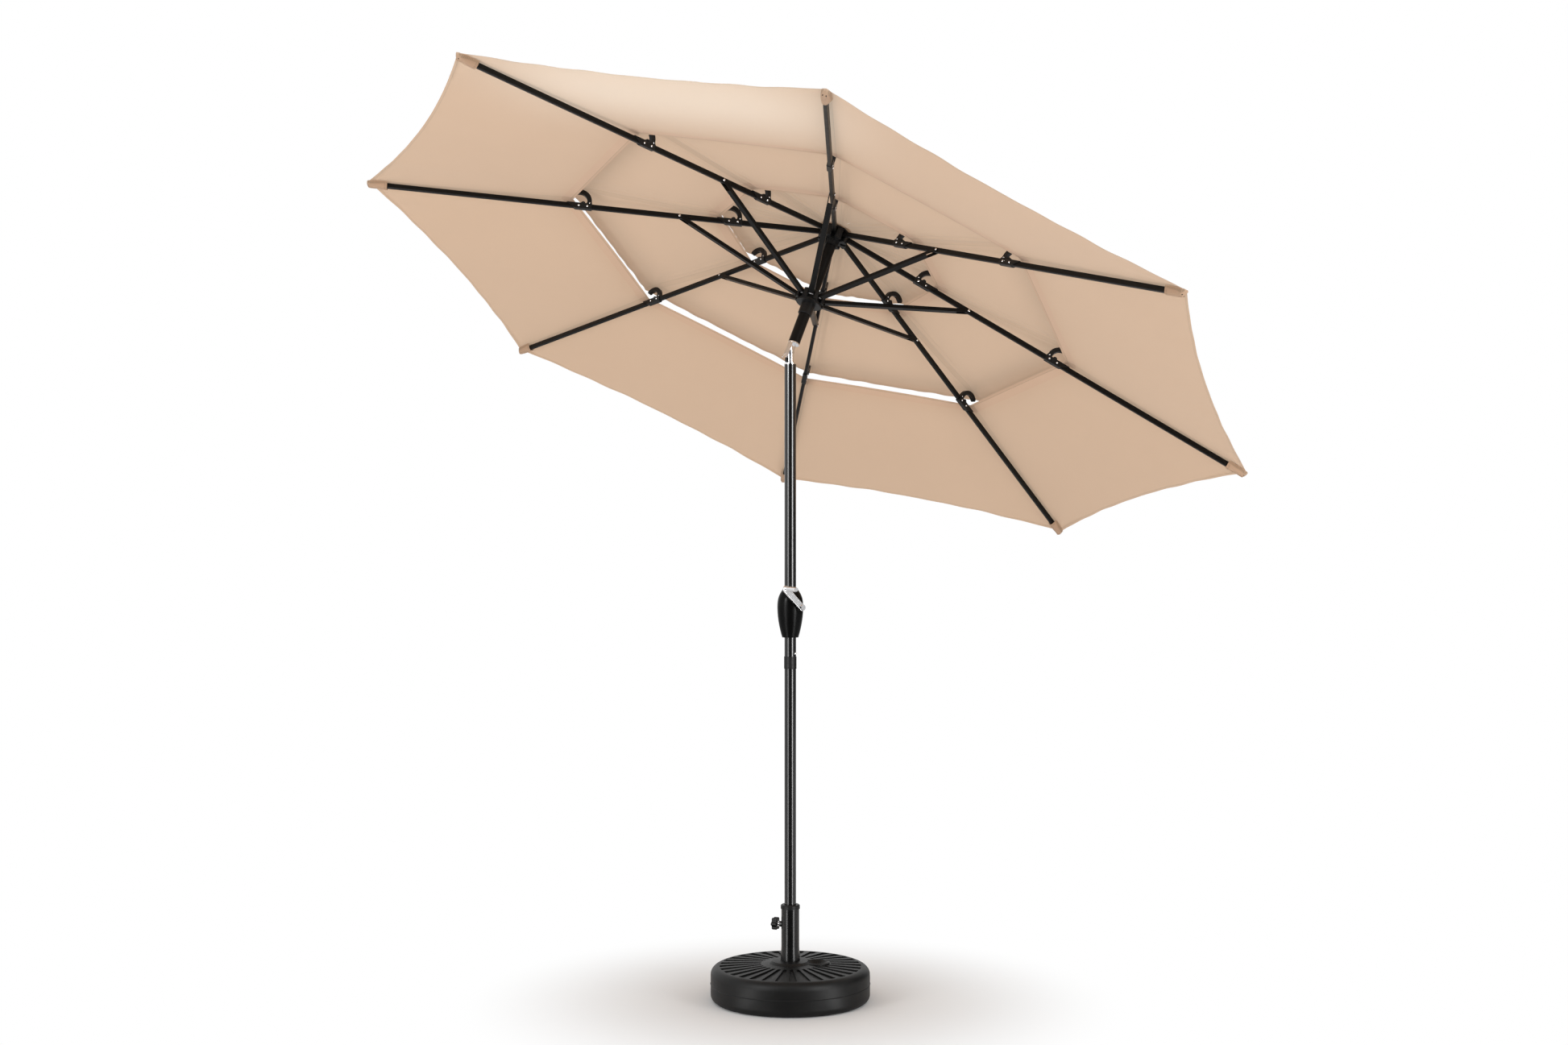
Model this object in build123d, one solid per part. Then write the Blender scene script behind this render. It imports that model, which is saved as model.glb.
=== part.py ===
"""Patio umbrella with a three-tier canopy, a crank, a push-button tilt and a round filled base.

Millimetres. Z is up, the origin is the centre of the base on the floor.
The mast leans toward +X about a tilt axis parallel to Y.
"""
import math
import os

from build123d import *

os.makedirs("parts", exist_ok=True)

# Driving dimensions: base
BASE_DIAMETER = 522.0
BASE_HEIGHT = 112.0
BASE_CROWN = 9.0
BASE_SINK_COUNT = 32
BASE_SINK_DEPTH = 5.0
TUBE_OD = 59.0
TUBE_WALL = 2.0
TUBE_TOP = 314.0
CLAMP_Z = 247.0
CLAMP_AZIMUTH = 112.0
KNOB_DIAMETER = 43.0
KNOB_STAND_OFF = 15.4
FILLER_RADIUS_POS = 86.0
FILLER_AZIMUTH = -44.0

# Driving dimensions: mast
POLE_OD = 38.0
POLE_WALL = 1.5
POLE_BOTTOM = 60.0
JOINT_Z = 1106.0
SLEEVE_HEIGHT = 40.0
HOUSING_BOTTOM = 1189.0
HOUSING_HEIGHT = 160.0
HOUSING_OD = 85.0
CRANK_Z = 1288.0
CRANK_REACH = 95.8
CRANK_RISE = 62.0
LEVER_W = 22.0

# Driving dimensions: tilt joint and upper mast, heights above the tilt pivot
TILT_Z = 2119.7
TILT_DEG = 26.86
KNUCKLE_DIAMETER = 24.0
KNUCKLE_LENGTH = 38.0
KNUCKLE_RISE = 24.0
TONGUE_R = 10.0
TILT_BUTTON_DROP = 24.0
TILT_BUTTON_W = 10.0
TILT_BUTTON_H = 16.0
SKIRT_DROP = 25.0
UPPER_START = 36.0
RUNNER_H = 205.0
RIB_PIVOT_H = 450.4
HUB_DIAMETER = 100.0

# Driving dimensions: ribs, struts, vent clips and canopy
RIB_COUNT = 8
RIB_PIVOT_R = 40.0
RIB_LENGTH = 1523.0
RIB_DROOP = 13.43
RIB_W = 12.0
RIB_H = 17.0
RIB_WALL = 1.2
STRUT_PIVOT_R = 42.0
STRUT_ON_RIB = 479.7
STRUT_W = 18.0
STRUT_H = 12.0
STRUT_WALL = 1.4
CLIP_INNER_S = 299.4
CLIP_OUTER_S = 803.3
CLIP_LENGTH = 58.0
CLIP_RISE = 60.4
CLIP_ARM_OUT = 43.0
CLIP_ARM_IN = 28.0
CLIP_ARM_W = 12.0
CLOTH = 0.8
RIM_SCALLOP = 42.0
TOP_OVERHANG = 60.0
MID_OVERHANG = 58.0
HOLE_OVERLAP = 13.0
CORD_R = 1.5
PIN_R = 2.0
FIT = 0.3
RUN = 0.05

POLE_R = POLE_OD / 2
POLE_IN = POLE_R - POLE_WALL
BASE_R = BASE_DIAMETER / 2
TUBE_R = TUBE_OD / 2
HUB_R = HUB_DIAMETER / 2
STEP = 360.0 / RIB_COUNT
DROOP = math.radians(RIB_DROOP)
MAST_TILT = Pos(0, 0, TILT_Z) * Rot(0, TILT_DEG, 0)
UPRIGHT = Pos(0, 0, TILT_Z)
LOW = (Align.CENTER, Align.CENTER, Align.MIN)
HUBWARD = (Align.MIN, Align.CENTER, Align.CENTER)
CLAMP_TURN = Rot(0, 0, CLAMP_AZIMUTH - 90)


def save(shape, name):
    export_step(shape, "parts/" + name + ".step")


def rod(radius, z0, z1):
    return Pos(0, 0, z0) * Cylinder(radius, z1 - z0, align=LOW)


def tube(outer, inner, z0, z1):
    return rod(outer, z0, z1) - rod(inner, z0 - 1, z1 + 1)


def y_rod(radius, x, z, y0, y1):
    return Pos(x, y1, z) * Rot(90, 0, 0) * Cylinder(radius, y1 - y0, align=LOW)


def x_rod(radius, y, z, x0, x1):
    return Pos(x0, y, z) * Rot(0, 90, 0) * Cylinder(radius, x1 - x0, align=LOW)


def block(x0, x1, y0, y1, z0, z1):
    centre = Pos((x0 + x1) / 2, (y0 + y1) / 2, (z0 + z1) / 2)
    return centre * Box(x1 - x0, y1 - y0, z1 - z0)


def around(shape, count, step, first=0.0):
    return [Rot(0, 0, first + step * i) * shape for i in range(count)]


def turned(points):
    face = Plane.XZ * make_face(Polyline(*points, close=True))
    return revolve(face, Axis.Z)


def group(solids):
    return Compound(children=list(solids))


# Base tank: rounded drum with a low conical top, sunken wedges and a filler dish
def tank_profile(drop):
    top = BASE_HEIGHT - drop
    crown = top + BASE_CROWN
    edge = 26.0
    foot = 22.0
    mid = BASE_HEIGHT * 0.5
    c = math.sqrt(0.5)
    outline = Polyline((0, 0), (BASE_R - foot, 0))
    outline += ThreePointArc(
        (BASE_R - foot, 0),
        (BASE_R - foot + foot * c, foot - foot * c),
        (BASE_R, foot),
    )
    outline += Polyline(
        (BASE_R, foot),
        (BASE_R, mid - 1.5),
        (BASE_R + 1.2, mid),
        (BASE_R, mid + 1.5),
        (BASE_R, top - edge),
    )
    outline += ThreePointArc(
        (BASE_R, top - edge),
        (BASE_R - edge + edge * c, top - edge + edge * c),
        (BASE_R - edge, top),
    )
    outline += Polyline(
        (BASE_R - edge, top),
        (88, crown),
        (70, crown + 2),
        (60, crown + 9),
        (40, crown + 11),
        (0, crown + 11),
        (0, 0),
    )
    return revolve(Plane.XZ * make_face(outline), Axis.Z)


def base_shell():
    crown = BASE_HEIGHT + BASE_CROWN
    body = tank_profile(0.0)
    half = 360.0 / BASE_SINK_COUNT * 0.28
    reach = BASE_R - 29.0
    a = math.radians(half)
    wedge = make_face(
        Polyline(
            (96, -96 * math.sin(a)),
            (reach, -reach * math.sin(a)),
            (reach, reach * math.sin(a)),
            (96, 96 * math.sin(a)),
            close=True,
        )
    )
    wedge = fillet(wedge.vertices(), 3.5)
    wedge = extrude(Pos(0, 0, BASE_HEIGHT - 12) * wedge, 60)
    dish_at = Rot(0, 0, FILLER_AZIMUTH) * Pos(FILLER_RADIUS_POS, 0, 0)
    ring = dish_at * rod(47, 0, 300)
    sunk = tank_profile(BASE_SINK_DEPTH)
    for one in around(wedge, BASE_SINK_COUNT, 360.0 / BASE_SINK_COUNT, 3.0):
        body -= (one - sunk) - ring
    rim = turned([(0, 60), (45, 60), (43, crown + 3), (38, crown + 5), (0, crown + 5)])
    dish = turned([(0, crown - 6), (22, crown - 6), (36.5, crown + 5), (36.5, crown + 20), (0, crown + 20)])
    body += dish_at * rim - rod(62, 0, 300)
    body -= dish_at * dish - rod(58, 0, 300)
    body -= dish_at * rod(20.5, crown - 40, crown + 10)
    body -= rod(TUBE_R + 0.1, 75, 300)
    body -= rod(POLE_R + FIT, POLE_BOTTOM, 80)
    return body


def filler_cap():
    top = BASE_HEIGHT + BASE_CROWN - 12
    cap = rod(20.5 - FIT, top - 22, top)
    cap -= rod(16, top - 5, top + 1)
    cap += block(-15.5, 15.5, -3, 3, top - 5, top - 0.5)
    cap = chamfer(cap.edges().filter_by(GeomType.CIRCLE).sort_by(Axis.Z)[:1], 1.5)
    return Rot(0, 0, FILLER_AZIMUTH) * Pos(FILLER_RADIUS_POS, 0, 0) * cap


def base_tube():
    seat = BASE_HEIGHT + BASE_CROWN + 11.3
    flare = turned(
        [(0, 75.3), (TUBE_R, 75.3), (TUBE_R, seat), (TUBE_R + 2.4, seat), (TUBE_R, seat + 44), (TUBE_R, 300), (0, 300)]
    )
    body = flare - rod(TUBE_R - TUBE_WALL, 70, 320)
    body -= CLAMP_TURN * y_rod(4.3, 0, CLAMP_Z, 0, 60)
    return body


def clamp_nut():
    body = y_rod(9.5, 0, CLAMP_Z, TUBE_R - 3, TUBE_R + KNOB_STAND_OFF - 9)
    body -= rod(TUBE_R + 0.05, 0, 400)
    body -= y_rod(4.0 + RUN, 0, CLAMP_Z, 0, 90)
    return CLAMP_TURN * body


def clamp_knob():
    r = KNOB_DIAMETER / 2
    lobes = Circle(r * 0.78)
    for i in range(6):
        lobes += Rot(0, 0, 60 * i) * Pos(r * 0.72, 0) * Circle(r * 0.28)
    lobes = fillet(lobes.vertices(), 2.5)
    head = extrude(lobes, 17)
    head = fillet(head.faces().sort_by(Axis.Z)[-1].edges(), 3.0)
    head = chamfer(head.faces().sort_by(Axis.Z)[0].edges(), 1.0)
    head += rod(9, -2, 0)
    screw = rod(4.0, -(TUBE_R + KNOB_STAND_OFF - POLE_R - FIT), -2.2)
    place = CLAMP_TURN * Pos(0, TUBE_R + KNOB_STAND_OFF, CLAMP_Z) * Rot(-90, 0, 0)
    return group([place * head, place * screw])


def tube_collar():
    lower = TUBE_TOP - 14
    inner = POLE_R + FIT
    return turned(
        [
            (inner, lower - 24),
            (TUBE_R - TUBE_WALL - FIT, lower - 24),
            (TUBE_R - TUBE_WALL - FIT, lower + FIT),
            (TUBE_R + 2.0, lower + FIT),
            (TUBE_R + 2.0, TUBE_TOP - 3),
            (TUBE_R - 1.0, TUBE_TOP),
            (inner + 1.0, TUBE_TOP),
            (inner, TUBE_TOP - 1.0),
        ]
    )


# Straight pole sections with their plug, sleeve and snap button
BUTTON_AZIMUTH = -77.0
BUTTON_Z = JOINT_Z + 30.0


def button_hole(radius):
    return Rot(0, 0, BUTTON_AZIMUTH) * x_rod(radius, 0, BUTTON_Z, 5, 40)


def lower_pole():
    body = tube(POLE_R, POLE_IN, POLE_BOTTOM + 4, JOINT_Z)
    body += tube(POLE_IN - 0.2, POLE_IN - 1.8, JOINT_Z - 20, JOINT_Z + 92)
    body += tube(POLE_R - 0.5, POLE_IN - 1.8, JOINT_Z - 20, JOINT_Z - 2)
    return body - button_hole(4.0)


def pole_foot():
    body = rod(POLE_R, POLE_BOTTOM + FIT, POLE_BOTTOM + 3.9)
    body = chamfer(body.edges().sort_by(Axis.Z)[:1], 1.5)
    body += rod(POLE_IN - 0.1, POLE_BOTTOM + 3, POLE_BOTTOM + 30)
    return body


def joint_sleeve():
    z0 = JOINT_Z - SLEEVE_HEIGHT / 2
    z1 = JOINT_Z + SLEEVE_HEIGHT / 2
    body = tube(POLE_R + 1.4, POLE_R + 0.05, z0, z1)
    edges = body.edges().filter_by(GeomType.CIRCLE).filter_by(lambda e: e.radius > POLE_R + 1)
    return fillet(edges, 0.7)


def mid_pole():
    body = tube(POLE_R, POLE_IN, JOINT_Z + 0.3, TILT_Z - KNUCKLE_LENGTH)
    body -= button_hole(4.0)
    body -= y_rod(5.0 + RUN, 0, CRANK_Z, -30, 30)
    return body


def snap_button():
    stem = x_rod(4.0 - 0.08, 0, 0, POLE_IN - 5.5, POLE_R + 2.2)
    dome = Pos(POLE_R + 2.2, 0, 0) * Sphere(4.0 - 0.08) & block(POLE_R + 2.2, POLE_R + 9, -9, 9, -9, 9)
    flange = x_rod(5.4, 0, 0, POLE_IN - 5.5, POLE_IN - 3.2)
    return Rot(0, 0, BUTTON_AZIMUTH) * Pos(0, 0, BUTTON_Z) * (stem + dome + flange)


def snap_spring():
    front = block(5.6, 6.4, -4, 4, -42, 10)
    bend = block(-14.2, 6.4, -4, 4, -42.8, -42)
    rear = block(-15, -14.2, -4, 4, -42.8, 10)
    return Rot(0, 0, BUTTON_AZIMUTH) * Pos(0, 0, BUTTON_Z) * (front + bend + rear)


# Crank: two housing halves, spool on its shaft, lever and grip
def housing_body():
    z = HOUSING_BOTTOM
    h = HOUSING_HEIGHT
    r = HOUSING_OD / 2
    side = Spline(
        (r * 0.63, z),
        (r * 0.79, z + h * 0.16),
        (r * 0.94, z + h * 0.38),
        (r, z + h * 0.62),
        (r * 0.91, z + h * 0.82),
        (r * 0.69, z + h * 0.94),
        (r * 0.53, z + h),
    )
    outline = side + Polyline((r * 0.53, z + h), (0, z + h), (0, z), (r * 0.63, z))
    body = revolve(Plane.XZ * make_face(outline), Axis.Z)
    body += y_rod(15, 0, CRANK_Z, -(r + 1.8), -20)
    body -= rod(POLE_R + 0.1, z - 1, z + h + 1)
    body -= y_rod(5.0 + RUN, 0, CRANK_Z, -90, 26)
    return body


def crank_spool():
    body = y_rod(5.0, 0, CRANK_Z, -(HOUSING_OD / 2 + 11.5), 25)
    body += y_rod(9.2, 0, CRANK_Z, -9, 9)
    body += y_rod(13.0, 0, CRANK_Z, -10.5, -9)
    body += y_rod(13.0, 0, CRANK_Z, 9, 10.5)
    return body


CRANK_FACE = -(HOUSING_OD / 2 + 2.1)
CRANK_DX = -math.sqrt(CRANK_REACH**2 - CRANK_RISE**2)


def crank_arm():
    angle = math.degrees(math.atan2(CRANK_RISE, -CRANK_DX))
    plate = Pos(CRANK_REACH / 2, 0) * SlotCenterToCenter(CRANK_REACH, LEVER_W)
    lever = extrude(plate, 6)
    lever = fillet(lever.faces().sort_by(Axis.Z)[-1].edges(), 1.6)
    for y in (-LEVER_W * 0.26, 0, LEVER_W * 0.26):
        lever -= block(14, CRANK_REACH - 12, y - 1.2, y + 1.2, 5.0, 9)
    body = Pos(0, 0, 7) * lever
    body += rod(10.4, 0, 8)
    body += rod(9.4, 12, 17)
    body -= rod(5.0 + 0.02, -1, 9.6)
    body += Pos(CRANK_REACH, 0, 0) * rod(3.5, 12, 60)
    body += Pos(CRANK_REACH, 0, 0) * rod(6.0, 58.6, 61)
    return Pos(0, CRANK_FACE, CRANK_Z) * Rot(90, 0, 0) * Rot(0, 0, 180 - angle) * body


def crank_grip():
    shape = turned([(3.5 + RUN, 13.4), (7.0, 13.4), (8.2, 18), (8.6, 36), (8.2, 53), (7.0, 58.2), (3.5 + RUN, 58.2)])
    angle = math.degrees(math.atan2(CRANK_RISE, -CRANK_DX))
    out = Rot(90, 0, 0) * Rot(0, 0, 180 - angle) * Pos(CRANK_REACH, 0, 0)
    return Pos(0, CRANK_FACE, CRANK_Z) * out * shape


# Tilt joint: knuckle on the lower mast, bracket on the upper mast with a skirt on its high side
SKIRT_IN = POLE_R - 2.4
SKIRT_OUT = POLE_R - 0.6


def skirt_side(widen):
    spread = 31 + widen
    return extrude(make_face(Polyline((0, 0), (-40, spread), (-40, -spread), close=True)), 120, both=True)


def tilt_knuckle():
    r = KNUCKLE_DIAMETER / 2
    body = rod(POLE_IN - 0.1, -96, -KNUCKLE_LENGTH)
    body += rod(POLE_R, -KNUCKLE_LENGTH + 0.1, -KNUCKLE_LENGTH + 4)
    post = rod(r, -KNUCKLE_LENGTH - 1, KNUCKLE_RISE)
    body += chamfer(post.edges().filter_by(GeomType.CIRCLE).sort_by(Axis.Z)[-1], 1.5)
    body -= block(-TONGUE_R - FIT, r + 1, -4, 4, -15, KNUCKLE_RISE + 1)
    body -= y_rod(4.0 + 0.02, 0, 0, -30, 30)
    body -= Pos(7, 0, 0) * rod(2.5, -100, -10)
    body -= x_rod(3.1, 0, -TILT_BUTTON_DROP, -r - 1, -2)
    skirt_room = tube(SKIRT_OUT + 20, SKIRT_IN - FIT, 0, UPPER_START) & skirt_side(4)
    body -= Rot(0, TILT_DEG, 0) * skirt_room
    return UPRIGHT * body


def tilt_button():
    r = KNUCKLE_DIAMETER / 2
    half = TILT_BUTTON_W / 2
    tall = TILT_BUTTON_H / 2
    cap = block(-r - 7.5, -r - 2.9, -half, half, -TILT_BUTTON_DROP - tall, -TILT_BUTTON_DROP + tall)
    cap = fillet(cap.edges().filter_by(Axis.X), 3.0)
    cap = fillet(cap.faces().sort_by(Axis.X)[0].edges(), 1.2)
    return UPRIGHT * (cap + x_rod(3.02, 0, -TILT_BUTTON_DROP, -r - 4.5, -6.5))


def tilt_pin():
    r = KNUCKLE_DIAMETER / 2
    body = y_rod(4.0, 0, 0, -r - 1, r + 1)
    body += y_rod(5.0, 0, 0, -r - 2.0, -r - 0.1)
    body += y_rod(5.0, 0, 0, r + 0.1, r + 2.0)
    return UPRIGHT * body


def tilt_bracket():
    body = rod(POLE_IN - 0.1, UPPER_START - 1, UPPER_START + 46)
    body += rod(POLE_R, UPPER_START - 3.5, UPPER_START - 0.1)
    tongue = block(-TONGUE_R, TONGUE_R, -3.7, 3.7, 0, UPPER_START)
    tongue += y_rod(TONGUE_R, 0, 0, -3.7, 3.7)
    tongue -= block(4.6, TONGUE_R + 1, -2.2, 2.2, -TONGUE_R - 2, UPPER_START + 1)
    body += tongue
    body -= y_rod(4.0 + RUN, 0, 0, -30, 30)
    body -= Pos(7, 0, 0) * rod(2.5, UPPER_START - 10, UPPER_START + 60)
    skirt = tube(SKIRT_OUT, SKIRT_IN, -SKIRT_DROP, UPPER_START - 3)
    skirt += tube(SKIRT_OUT + 3.6, SKIRT_IN, -SKIRT_DROP, -SKIRT_DROP + 2)
    notch = TILT_BUTTON_W / 2 + 0.8
    skirt -= block(-40, 0, -notch, notch, -SKIRT_DROP - 9, TILT_BUTTON_H / 2 - TILT_BUTTON_DROP + 2)
    return MAST_TILT * (body + (skirt & skirt_side(0)))


# Upper mast: pole, hub, pulley, finial and runner
PULLEY_X = -7.1
PULLEY_H = RIB_PIVOT_H - 10.0
PULLEY_R = 14.1


def upper_pole():
    body = tube(POLE_R, POLE_IN, UPPER_START, RIB_PIVOT_H + 8.6)
    body -= block(-25, -10, -4.2, 4.2, PULLEY_H - 18, RIB_PIVOT_H + 20)
    body -= y_rod(PIN_R + 0.02, PULLEY_X, PULLEY_H, -40, 40)
    return MAST_TILT * body


def lug_ring(slot, inner, z0, z1):
    plan = Circle(HUB_R)
    for i in range(RIB_COUNT):
        plan -= Rot(0, 0, STEP * i) * Pos(inner, 0) * Rectangle(60, slot, align=(Align.MIN, Align.CENTER))
    corners = [v for v in plan.vertices() if math.hypot(v.X, v.Y) > HUB_R - 1]
    plan = fillet(corners, 3.0)
    return extrude(Pos(0, 0, z0) * plan, z1 - z0)


def hub():
    low = RIB_PIVOT_H - 25
    top = RIB_PIVOT_H + 9.6
    body = lug_ring(RIB_W + 1.4, 29.5, low, top + 1)
    rim = HUB_R + 1
    body += turned([(0, top), (rim, top), (rim, top + 5), (rim - 4, top + 8), (0, top + 8)])
    body += rod(22, top + 6, top + 11.3)
    body += rod(24, low - 17, low + 1)
    body -= rod(POLE_R + 0.1, low - 20, RIB_PIVOT_H + 9.0)
    body -= rod(5.0 + 0.02, RIB_PIVOT_H + 5, top + 20)
    body -= block(-25.5, 0, -4.2, 4.2, PULLEY_H - 19, RIB_PIVOT_H + 9.0)
    body -= block(-24, -18, -2.2, 2.2, low - 30, PULLEY_H)
    body -= y_rod(PIN_R + 0.02, PULLEY_X, PULLEY_H, -21.5, 21.5)
    pin = Pos(RIB_PIVOT_R, 0, RIB_PIVOT_H) * Rot(90, 0, 0) * Cylinder(PIN_R + 0.02, 25)
    for one in around(pin, RIB_COUNT, STEP):
        body -= one
    return MAST_TILT * body


def hub_pins():
    pin = Pos(RIB_PIVOT_R, 0, RIB_PIVOT_H) * Rot(90, 0, 0) * Cylinder(PIN_R, 24.8)
    pins = around(pin, RIB_COUNT, STEP)
    pins.append(y_rod(PIN_R, PULLEY_X, PULLEY_H, -21.2, 21.2))
    return MAST_TILT * group(pins)


def pulley():
    wheel = turned(
        [(PIN_R + RUN, -3.4), (15.8, -3.4), (15.8, -2.6), (12.2, -1.2), (12.2, 1.2), (15.8, 2.6), (15.8, 3.4), (PIN_R + RUN, 3.4)]
    )
    return MAST_TILT * Pos(PULLEY_X, 0, PULLEY_H) * Rot(90, 0, 0) * wheel


def finial():
    z = RIB_PIVOT_H + 24.4
    side = Spline((44, z + 5), (30, z + 14), (14, z + 20), (9, z + 27))
    side += Spline((9, z + 27), (13, z + 35), (9.5, z + 44), (0, z + 48), tangents=((0, 1), (-1, 0)))
    outline = Polyline((0, z), (44, z), (44, z + 5)) + side + Polyline((0, z + 48), (0, z))
    body = revolve(Plane.XZ * make_face(outline), Axis.Z)
    return MAST_TILT * (body + rod(5.0, RIB_PIVOT_H + 9.4, z + 1))


def runner():
    low = RUNNER_H - 15
    top = RUNNER_H + 15
    body = lug_ring(STRUT_W + 1.2, 33.5, low, top)
    body += rod(STRUT_PIVOT_R + 0.5, low - 7, low + 1)
    body += rod(23, low - 46, low)
    body += rod(26, top - 1, top + 11)
    edges = body.edges().filter_by(GeomType.CIRCLE).sort_by(Axis.Z)
    body = chamfer(edges[0], 1.5)
    body -= rod(POLE_R + FIT, low - 60, top + 30)
    body -= Pos(-21.2, 0, 0) * rod(CORD_R + FIT, top + 4, top + 30)
    pin = Pos(STRUT_PIVOT_R, 0, RUNNER_H) * Rot(90, 0, 0) * Cylinder(PIN_R + 0.02, 30)
    for one in around(pin, RIB_COUNT, STEP):
        body -= one
    return MAST_TILT * body


def runner_pins():
    pin = Pos(STRUT_PIVOT_R, 0, RUNNER_H) * Rot(90, 0, 0) * Cylinder(PIN_R, 29.6)
    return MAST_TILT * group(around(pin, RIB_COUNT, STEP))


# Ribs lie along X of their own frame, hinged at its origin, then droop and turn round the mast
def rib_place(index):
    return MAST_TILT * Rot(0, 0, STEP * index) * Pos(RIB_PIVOT_R, 0, RIB_PIVOT_H) * Rot(0, RIB_DROOP, 0)


def rib():
    end = RIB_H / 2
    section = Plane.YZ * RectangleRounded(RIB_W, RIB_H, 2.5)
    body = extrude(Pos(-end, 0, 0) * section, RIB_LENGTH - 18 + end)
    nose = block(-end - 1, 0, -20, 20, -20, 20) - y_rod(end, 0, 0, -20, 20)
    hollow_w = RIB_W / 2 - RIB_WALL
    hollow_h = RIB_H / 2 - RIB_WALL
    body -= block(14, RIB_LENGTH + 5, -hollow_w, hollow_w, -hollow_h, hollow_h)
    return body - nose - y_rod(PIN_R + RUN, 0, 0, -20, 20)


def vent_clip():
    root = 0.0
    end = CLIP_LENGTH
    half = RIB_H / 2
    saddle = make_face(
        Polyline(
            (root, -half - 2.2),
            (end - 4, -half - 2.2),
            (end, -half - 0.6),
            (end + 27, half + 0.1),
            (end + 27, half + 0.7),
            (root, half + 0.7),
            close=True,
        )
    )
    ear = Pos(30, half + 0.8) * Circle(7.5) - Pos(30, half + 2.2) * Circle(2.6)
    ear -= Pos(30, half - 6) * Rectangle(40, 12)
    mid = CLIP_RISE - CLIP_ARM_OUT - 1.4
    arm_mid = (CLIP_ARM_OUT + CLIP_ARM_IN) / 2
    arm = Pos(45, mid) * (Circle(CLIP_ARM_OUT) - Circle(CLIP_ARM_IN))
    wedge = make_face(Polyline((45, mid), (45 + 80, mid + 138), (45 - 120, mid + 138), (45 - 120, mid), close=True))
    arm = arm & wedge
    turn = math.radians(60)
    tip = Pos(45 + arm_mid * math.cos(turn), mid + arm_mid * math.sin(turn)) * Circle(CLIP_ARM_OUT - arm_mid)
    heel = 45 - CLIP_ARM_OUT
    instep = 45 - CLIP_ARM_IN
    foot = make_face(Polyline((root, half), (instep + 2, half), (instep, mid + 0.5), (heel, mid + 0.5), close=True))
    wide = extrude(Plane.XZ * saddle, RIB_W / 2 + 2.4, both=True)
    wide = chamfer(wide.edges().filter_by(Axis.X).sort_by(Axis.Z)[:2], 1.2)
    wide -= block(root - 1, end + 30, -RIB_W / 2 - 0.1, RIB_W / 2 + 0.1, -half - 0.1, half + 0.1)
    thin = extrude(Plane.XZ * (arm + tip + foot), CLIP_ARM_W / 2, both=True)
    lug = extrude(Plane.XZ * ear, 5.0, both=True)
    return wide + thin + lug


def rib_fittings(index):
    clip = vent_clip()
    half = RIB_H / 2
    plug = block(RIB_LENGTH - 17.8, RIB_LENGTH, -RIB_W / 2 - 0.4, RIB_W / 2 + 0.4, -half - 0.4, half + 0.5)
    plug = fillet(plug.faces().sort_by(Axis.X)[-1].edges(), 3.0)
    plug += block(RIB_LENGTH - 46, RIB_LENGTH - 17, -4.6, 4.6, -7.1, 7.1)
    inner = Pos(CLIP_INNER_S - CLIP_LENGTH / 2, 0, 0) * clip
    outer = Pos(CLIP_OUTER_S - CLIP_LENGTH / 2, 0, 0) * clip
    return rib_place(index) * group([inner, outer, plug])


STRUT_DX = RIB_PIVOT_R + STRUT_ON_RIB * math.cos(DROOP) - STRUT_PIVOT_R
STRUT_DZ = RIB_PIVOT_H - STRUT_ON_RIB * math.sin(DROOP) - RUNNER_H
STRUT_LENGTH = math.hypot(STRUT_DX, STRUT_DZ)
STRUT_RISE = math.degrees(math.atan2(STRUT_DZ, STRUT_DX))


def strut():
    half = STRUT_H / 2
    inside = STRUT_W / 2 - STRUT_WALL
    side = Pos(STRUT_LENGTH / 2, 0) * SlotOverall(STRUT_LENGTH + STRUT_H, STRUT_H)
    body = extrude(Plane.XZ * side, STRUT_W / 2, both=True)
    body -= block(-20, STRUT_LENGTH + 20, -inside, inside, -half + STRUT_WALL, 30)
    body -= block(STRUT_LENGTH - 40, STRUT_LENGTH + 20, -inside, inside, -30, 30)
    body -= block(-20, 9, -inside, inside, -30, 30)
    body -= y_rod(PIN_R + RUN, 0, 0, -30, 30)
    return body


def strut_place(index):
    return MAST_TILT * Rot(0, 0, STEP * index) * Pos(STRUT_PIVOT_R, 0, RUNNER_H) * Rot(0, -STRUT_RISE, 0)


# Canopy: three octagonal tiers, each a thin stretched cloth between the eight ribs
def on_rib(s, w):
    r = RIB_PIVOT_R + s * math.cos(DROOP) + w * math.sin(DROOP)
    h = RIB_PIVOT_H - s * math.sin(DROOP) + w * math.cos(DROOP)
    return r, h


def corner(radius, index):
    a = math.radians(STEP * index)
    return (radius * math.cos(a), radius * math.sin(a))


def octagon(radius):
    return make_face(Polyline(*[corner(radius, i) for i in range(RIB_COUNT)], close=True))


def scalloped(radius, sag):
    edges = []
    for i in range(RIB_COUNT):
        a = math.radians(STEP * (i + 0.5))
        mid = radius * math.cos(math.radians(STEP / 2)) - sag
        middle = (mid * math.cos(a), mid * math.sin(a))
        edges.append(ThreePointArc(corner(radius, i), middle, corner(radius, i + 1)))
    return make_face(Curve() + edges)


def cone(r0, h0, r1, h1):
    return loft([Pos(0, 0, h1) * octagon(r1), Pos(0, 0, h0) * octagon(r0)], ruled=True)


def tier(inner, outer, hole, rim, sag):
    slope = (outer[1] - inner[1]) / (outer[0] - inner[0])
    r0 = hole - 8.0
    r1 = rim + 60.0
    h0 = inner[1] + slope * (r0 - inner[0])
    h1 = inner[1] + slope * (r1 - inner[0])
    cloth = cone(r0, h0 + CLOTH, r1, h1 + CLOTH) - cone(r0, h0, r1, h1)
    plan = scalloped(rim, sag) - octagon(hole)
    return MAST_TILT * (cloth & extrude(Pos(0, 0, -200) * plan, 900))


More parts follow.
